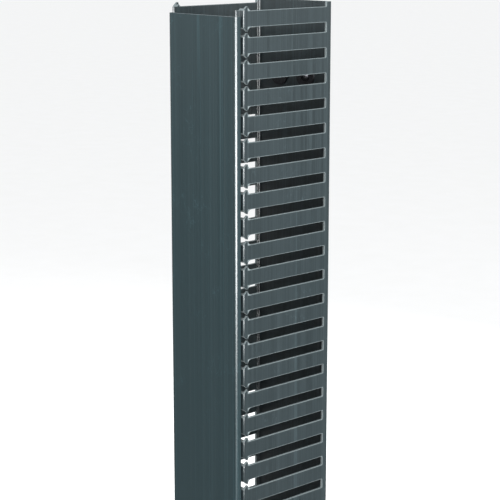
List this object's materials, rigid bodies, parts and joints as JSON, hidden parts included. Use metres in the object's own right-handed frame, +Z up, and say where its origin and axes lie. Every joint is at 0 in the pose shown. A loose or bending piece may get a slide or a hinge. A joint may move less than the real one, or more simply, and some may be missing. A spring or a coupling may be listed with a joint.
{
  "type": "vertical cable manager",
  "caption": "Upright slotted-finger cable duct with a clip-on cover, carried on two folded steel brackets for the side of a rack rail.",
  "frame": {"origin": "centre of the whole part's footprint, at the foot of the duct", "axes": "+Z up along the duct, -Y towards the cover, +X to the right seen from the front"},
  "size_m": [0.0826, 0.1308, 0.62],
  "materials": {
    "pvc_duct": "extruded rigid PVC, satin, slate grey",
    "pvc_cover": "extruded rigid PVC, satin, slate grey",
    "black_steel": "black powder coat on folded steel",
    "black_oxide_steel": "black oxide on steel"
  },
  "bodies": {
    "duct_body": {"duct": "pvc_duct", "upper_bracket": "black_steel", "lower_bracket": "black_steel", "upper_left_screw": "black_oxide_steel", "upper_right_screw": "black_oxide_steel", "lower_left_screw": "black_oxide_steel", "lower_right_screw": "black_oxide_steel", "upper_left_washer": "black_oxide_steel", "upper_right_washer": "black_oxide_steel", "lower_left_washer": "black_oxide_steel", "lower_right_washer": "black_oxide_steel", "upper_left_spring_washer": "black_oxide_steel", "upper_right_spring_washer": "black_oxide_steel", "lower_left_spring_washer": "black_oxide_steel", "lower_right_spring_washer": "black_oxide_steel", "upper_left_nut": "black_oxide_steel", "upper_right_nut": "black_oxide_steel", "lower_left_nut": "black_oxide_steel", "lower_right_nut": "black_oxide_steel"},
    "cover_body": {"cover": "pvc_cover"}
  },
  "joints": [
    {"name": "cover_pull_off", "type": "slide", "parent": "duct_body", "child": "cover_body", "axis": [0, -1, 0], "range_m": [0, 0.06]}
  ]
}
